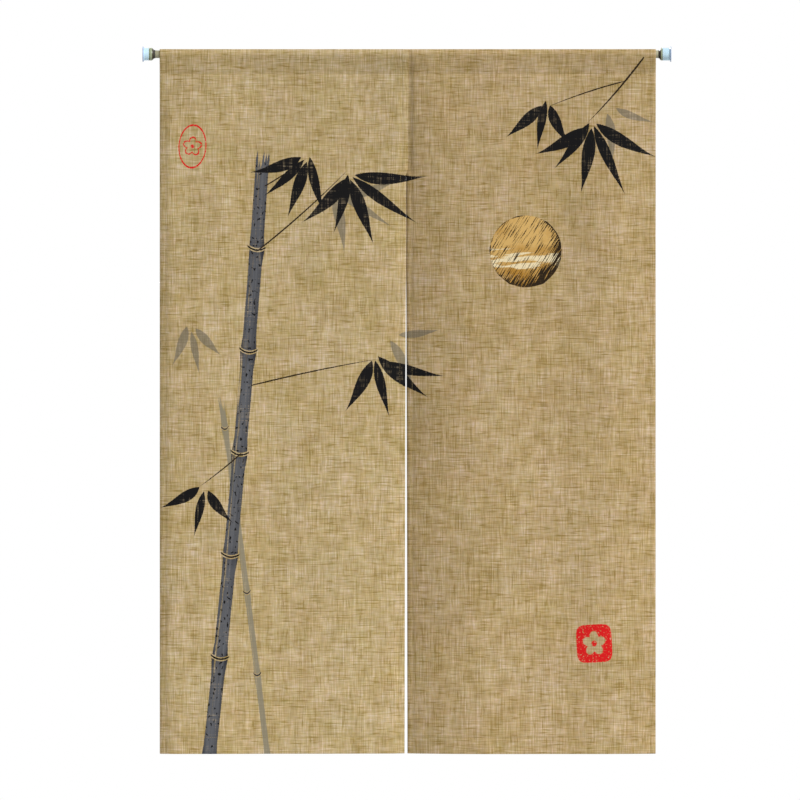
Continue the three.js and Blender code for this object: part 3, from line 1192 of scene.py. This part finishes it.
def repeat_stitch(name, frames):
    """One mesh with a stitch at each frame, a matrix that places and turns it."""
    corners, faces = stitch_shape()
    frames = np.array(frames)
    moved = np.einsum("nij,vj->nvi", frames[:, :3, :3], corners) + frames[:, None, :3, 3]
    first = np.arange(len(frames))[:, None, None] * len(corners)
    mesh = bpy.data.meshes.new(name)
    mesh.from_pydata(moved.reshape(-1, 3).tolist(), [], (faces + first).reshape(-1, 3).tolist())
    mesh.shade_smooth()
    return add_object(name, mesh)


def stitch_frame(place, ahead, outward):
    """A frame whose third axis runs along the seam and whose second leaves the cloth."""
    ahead = ahead.normalized()
    aside = ahead.cross(outward).normalized()
    outward = aside.cross(ahead)
    turned = Matrix((aside, -outward, ahead)).transposed().to_4x4()
    return Matrix.Translation(place) @ turned


def stitch_line(line):
    """Frames along a line of (place, outward), one for each step."""
    gone = along([place for place, outward in line])
    step = STITCH["step"] * MM
    frames = []
    for number in range(int(gone[-1] / step)):
        at = (number + 0.5) * step
        i = bisect.bisect(gone, at) - 1
        share = (at - gone[i]) / (gone[i + 1] - gone[i])
        (start, out_start), (end, out_end) = line[i], line[i + 1]
        outward = out_start.lerp(out_end, share)
        frames.append(stitch_frame(start.lerp(end, share), end - start, outward))
    return frames


print("one stitch:", len(stitch_shape()[1]), "triangles")

# %% [markdown]
# Every hem is sewn through, so each seam shows on the face of the cloth and again on the
# folded layer behind it. The cross product of the directions across and up the cloth
# points out of its right side, whichever way the layer is folded.

# %% Seams along the hems
SEW_LIFT = THICKNESS / 2 + 0.1
HIDDEN_ROWS = 8  # at each end of a column, inside the bottom hem and the pocket
WRONG_LAYER = 50  # a stop on another layer counts as this many millimetres off


def sew_panel(side):
    """Frames of all stitches of a panel: side hems, bottom hem and pocket, front and back."""
    grid = hung[side]
    across, upright = grid["across"], grid["upright"]
    rows, columns = len(upright), len(across)

    def spot(column, row):
        place = grid["places"][column][row]
        right = grid["places"][min(column + 1, columns - 1)][row]
        left = grid["places"][max(column - 1, 0)][row]
        above = grid["places"][column][min(row + 1, rows - 1)]
        below = grid["places"][column][max(row - 1, 0)]
        outward = (right - left).cross(above - below).normalized()
        return place + outward * SEW_LIFT * MM, outward

    width = PANEL_WIDTH[side]
    inset = SIDE_HEM - STITCH_INSET
    frames = []
    for line in (inset, width - inset):
        for layer in (0, 2 * LAYER):
            column = nearest(across, lambda p: abs(p.x - line) + WRONG_LAYER * abs(p.y - layer))
            shown = range(HIDDEN_ROWS, rows - HIDDEN_ROWS)
            frames += stitch_line([spot(column, row) for row in shown])
    for z in (HEM_Z + BOTTOM_HEM - STITCH_INSET, STITCH_Z):
        for facing in (1, -1):
            row = nearest(
                upright, lambda s: abs(s[0].y - z) + WRONG_LAYER * abs(s[1].x - facing)
            )
            edge = len(side_hem_path()) + 1
            frames += stitch_line([spot(column, row) for column in range(edge, columns - edge)])
    return frames


sewing = {}
for side in ("left", "right"):
    frames = sew_panel(side)
    sewing[side] = repeat_stitch(side + "_hem_stitches", frames)
    print(side, "panel:", len(frames), "stitches")

# %% [markdown]
# One more line of stitches goes through both panels where the left laps over the right,
# and a bar of close stitches at the top of the slit stops it tearing further.

# %% Centre seam
SEAM = {"starts": 22, "step": 3}  # below the top, and between the places that it follows
TACK = {"width": 6, "height": 2.4, "rows": 5, "above": 2, "slant": 0.12}

frames = []
seam_end = POCKET_TOP - SEAM_LENGTH
stops = int((SEAM_LENGTH - SEAM["starts"]) / SEAM["step"])
heights = [POCKET_TOP - SEAM["starts"] - SEAM["step"] * i for i in range(stops)]
for toward, lift in ((-1, -SEW_LIFT), (1, LAP["behind"] + 2 * LAYER + SEW_LIFT)):
    line = []
    for z in heights:
        place = hang("left", LAP["stitch"], z) + Vector((0, lift, 0))
        line.append((place * MM, Vector((0, toward, 0))))
    frames += stitch_line(line)
for row in range(TACK["rows"]):
    z = seam_end + TACK["above"] + TACK["height"] * row / (TACK["rows"] - 1)
    for share in (0.25, 0.75):
        place = hang("left", TACK["width"] * share, z) + Vector((0, -SEW_LIFT, 0))
        ahead = Vector((1, 0, TACK["slant"]))
        frames.append(stitch_frame(place * MM, ahead, Vector((0, -1, 0))))
sewing["seam"] = repeat_stitch("seam_stitches", frames)
print("centre seam:", len(frames), "stitches")

# %% [markdown]
# Sewing thread is spun cotton, close to the cloth in colour and slightly smoother. A fine
# noise darkens it here and there, as thread is where it dives into the cloth.

# %% Thread material
material, shader, recipe = new_material("sewing_thread")
ply = recipe.solid_noise((0.6 * MM, 0.6 * MM, 1.1 * MM), 2.0, 0.5)
thread = recipe.mix(ply.span(0.3, 0.7), colour(150, 128, 84), colour(192, 172, 128))
bump = recipe.add("Bump", Strength=0.5, Distance=0.1 * MM, Height=ply)
recipe.fill_named(
    shader, Base_Color=thread, Normal=bump.outputs[0], Roughness=0.7, Specular_IOR_Level=0.3
)
for piece in sewing.values():
    piece.data.materials.append(material)
print("thread on", [piece.name for piece in sewing.values()])

# %% [markdown]
# ## The rod
#
# The rod is a painted tube with a collar and a plastic cap at each end. All of them are
# round, so each is a half outline that is spun about the rod's axis. Real edges are
# never razor sharp, so the corners are bevelled after the spin, where a bevel can find
# them by the angle between their faces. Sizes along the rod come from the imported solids.

# %% Turning a part
SPIN_STEPS = 72
BEVEL_ABOVE = math.radians(28)
CREASE_ABOVE = math.radians(38)


def turn_part(name, profile, mirrored=False, round_over=0.25):
    """Spin a profile of (along the rod, out from its axis), in mm, and round its corners."""
    bm = bmesh.new()
    points = [bm.verts.new((x * MM, 0, out * MM)) for x, out in profile]
    edges = [bm.edges.new(pair) for pair in zip(points, points[1:])]
    if profile[0][1] > 0:
        edges.append(bm.edges.new((points[-1], points[0])))
    bmesh.ops.spin(bm, geom=points + edges, axis=(1, 0, 0), cent=(0, 0, 0), dvec=(0, 0, 0),
                   angle=math.tau, steps=SPIN_STEPS, use_merge=True)
    bmesh.ops.remove_doubles(bm, verts=bm.verts, dist=1e-6)
    if mirrored:
        bmesh.ops.scale(bm, vec=(-1, 1, 1), verts=bm.verts)
    bmesh.ops.recalc_face_normals(bm, faces=bm.faces)
    corners = [edge for edge in bm.edges if edge.calc_face_angle() > BEVEL_ABOVE]
    bmesh.ops.bevel(bm, geom=corners, offset=round_over * MM, segments=3, profile=0.5,
                    affect="EDGES", material=-1)
    mesh = bpy.data.meshes.new(name)
    bm.to_mesh(mesh)
    bm.free()
    mesh.shade_smooth()
    mesh.set_sharp_from_angle(angle=CREASE_ABOVE)
    print(name, len(mesh.polygons), "faces")
    return add_object(name, mesh)


def ends_along(node):
    """Where a node starts and ends along the rod, in mm, as if on the right."""
    low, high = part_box(node)
    return sorted((abs(low.x) / MM, abs(high.x) / MM))


print("right cap, mm from the middle:", [round(end, 1) for end in ends_along("right_cap")])

# %% [markdown]
# A collar has a straight neck on the tube, a taper that swells out of it, a shoulder, and
# a ring with one groove round it. The cap is pushed into that ring. It is a short socket
# with a flange, whose outer face is sunk a little and has a low boss in its middle.

# %% Tube, collars and caps
WALL = 0.8
BORE_EASE = 0.3
RING_SHARE = {"left": 0.50, "right": 0.42}  # of the collar's length, the rest tapers
LIP = 0.3
TAPER = [(0.30, 0.0), (0.60, 0.36), (0.86, 0.80)]  # (share of its length, share of its rise)
SHOULDER = [(-0.1, 0.5), (0.3, 0.15), (0.8, 0.0)]  # (past the taper, below the ring)
RING_GROOVE = [(1.5, 0.0), (1.2, 0.45), (0.8, 0.45), (0.5, 0.0)]  # (before the cap, deep)
SOCKET = 7
RIM = 1.4
FLARE = 2
FLARE_STEP = 0.35  # a corner on the way out to the flange, in shares of the flare
DRAFT = 0.1
DISH = {"rim": 3.2, "slope": 0.7, "deep": 0.5}
BOSS = {"foot": 3.6, "top": 2.8, "deep": 0.2}


def collar_ends(side):
    """Where a collar ends on the tube, where its ring meets the cap, and its shoulder."""
    end, start = ends_along(side + "_collar")
    start += BORE_EASE
    return end, start, start - (start - end) * RING_SHARE[side]


tube = turn_part("painted_tube", [
    (tube_low.x, TUBE_RADIUS - WALL),
    (tube_low.x, TUBE_RADIUS),
    (tube_high.x, TUBE_RADIUS),
    (tube_high.x, TUBE_RADIUS - WALL),
])

bore = TUBE_RADIUS + BORE_EASE
collars = {}
caps = {}
for side in ("left", "right"):
    end, start, shoulder = collar_ends(side)
    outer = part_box(side + "_collar")[1].z / MM
    neck, taper, rise = bore + LIP, shoulder - end, outer - bore - LIP
    profile = [(end, bore), (end, neck)]
    profile += [(end + length * taper, neck + out * rise) for length, out in TAPER]
    profile += [(shoulder + past, outer - below) for past, below in SHOULDER]
    profile += [(start - before, outer - deep) for before, deep in RING_GROOVE]
    profile += [(start, outer), (start, bore)]
    mirrored = side == "left"
    collars[side] = turn_part(side + "_collar_turned", profile, mirrored, round_over=0.16)

    mouth, face = ends_along(side + "_cap")
    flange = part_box(side + "_cap")[1].z / MM
    caps[side] = turn_part(side + "_cap_turned", [
        (mouth + SOCKET, 0),
        (mouth + SOCKET, bore),
        (mouth, bore),
        (mouth, outer),
        (face - RIM - FLARE, outer - DRAFT),
        (face - RIM - FLARE_STEP * FLARE, outer + FLARE_STEP * (flange - outer)),
        (face - RIM, flange),
        (face, flange),
        (face, flange - DISH["rim"]),
        (face - DISH["deep"], flange - DISH["rim"] - DISH["slope"]),
        (face - DISH["deep"], BOSS["foot"]),
        (face - BOSS["deep"], BOSS["top"]),
        (face - BOSS["deep"], 0),
    ], mirrored, round_over=0.2)

# %% [markdown]
# The tube is enamelled khaki: even in colour, a little glossy, with faint marks along it
# from sliding in and out. Noise with long cells gives those marks to the gloss alone.

# %% Khaki enamel
material, shader, recipe = new_material("khaki_enamel")
rub = recipe.solid_noise((50 * MM, 1.1 * MM, 1.1 * MM), 3.0, 0.6)
mottle = recipe.solid_noise(12 * MM, 3.0, 0.6)
paint = recipe.mix(mottle.span(0.3, 0.7), colour(158, 153, 124), colour(178, 174, 144))
recipe.fill_named(
    shader, Base_Color=paint, Roughness=rub.span(0.3, 0.7, 0.34, 0.50),
    Coat_Weight=0.25, Coat_Roughness=0.2,
)
tube.data.materials.append(material)
print(material.name)

# %% [markdown]
# Each collar is one moulding in two colours, so its material changes where the ring ends
# and the taper starts. The brown darkens along the taper toward the tube, a painted shadow
# at the collar's neck, and painted shade darkens the ring's groove.

# %% Collar plastic
TWO_TONE = (0.2, -0.15)  # the change of colour, past the shoulder
# the painted shadow at the collar's neck is darkest this far from its end on the tube
DEEPEST = 1.2  # from the collar's end on the tube
# painted shade in the ring's groove
GROOVE_SHADE = ((1.45, 1.2), (0.45, 0.7))  # before the cap, where it starts and is full on each side


def off_middle(recipe):
    """How far along the rod a place is from the rod's middle."""
    return abs(recipe.split(recipe.add("TexCoord").outputs["Object"])[0])


for side, collar in collars.items():
    material, shader, recipe = new_material(side + "_collar_plastic")
    from_middle = off_middle(recipe)
    end, start, shoulder = collar_ends(side)
    tapering = from_middle.span(*[(shoulder + past) * MM for past in TWO_TONE])
    # painted shadow: the brown darkens toward the neck, where the taper meets the tube
    neck_shadow = from_middle.span(shoulder * MM, (end + DEEPEST) * MM)
    brown = recipe.mix(neck_shadow, colour(72, 64, 46), colour(30, 24, 14))
    olive = recipe.solid_noise(6 * MM, 2.0, 0.5).span(0.3, 0.7)
    olive = recipe.mix(olive, colour(150, 160, 126), colour(166, 174, 142))
    one_side, other_side = (
        from_middle.span((start - begins) * MM, (start - full) * MM) for begins, full in GROOVE_SHADE
    )
    # painted shade darkens the ring's groove
    olive = recipe.mix(one_side * other_side, olive, colour(96, 104, 76))
    recipe.fill_named(shader, Base_Color=recipe.mix(tapering, olive, brown), Roughness=0.32)
    collar.data.materials.append(material)
    print(material.name)

# %% [markdown]
# The caps are milky blue plastic that lets some light in, which subsurface scattering
# does without any glass. A clear tinted coat deepens their blue toward the edges, and
# their flanges are painted a greyer blue, which is painted shade on their flared lips.

# %% Cap plastic
material, shader, recipe = new_material("milky_blue_plastic")
cloudy = recipe.solid_noise(5 * MM, 3.0, 0.55).span(0.3, 0.7)
blue = recipe.mix(cloudy, colour(212, 241, 255), colour(224, 247, 255))
_, face = ends_along("right_cap")
# painted shade: the flared flange is coloured a greyer blue
painted_flange_shade = off_middle(recipe).span((face - RIM - FLARE) * MM, (face - RIM) * MM)
recipe.fill_named(
    shader, Base_Color=recipe.mix(painted_flange_shade, blue, colour(180, 194, 220)), Roughness=0.3,
    Specular_IOR_Level=0.2, Coat_Weight=1.0, Coat_Roughness=0.15, Coat_IOR=1.2,
    Coat_Tint=(0.90, 0.95, 1.0, 1), Subsurface_Weight=0.15, Subsurface_Radius=(0.7, 0.9, 1.0),
    Subsurface_Scale=6 * MM,
)
for cap in caps.values():
    cap.data.materials.append(material)
print(material.name)

# %% [markdown]
# ## Fitting the pieces to the imported model
#
# Each piece rides on the model's only body and takes the place of the plain solid it
# dresses.

# %% Ride and replace
for side in ("left", "right"):
    for piece, node, slot in (
        (panels[side], side + "_panel", "cloth"),
        (collars[side], side + "_collar", "collar_plastic"),
        (caps[side], side + "_cap", "cap_plastic"),
    ):
        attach(piece, "root")
        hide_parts(node)
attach(tube, "root")
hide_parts("rod_tube")
for piece in sewing.values():
    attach(piece, "root")
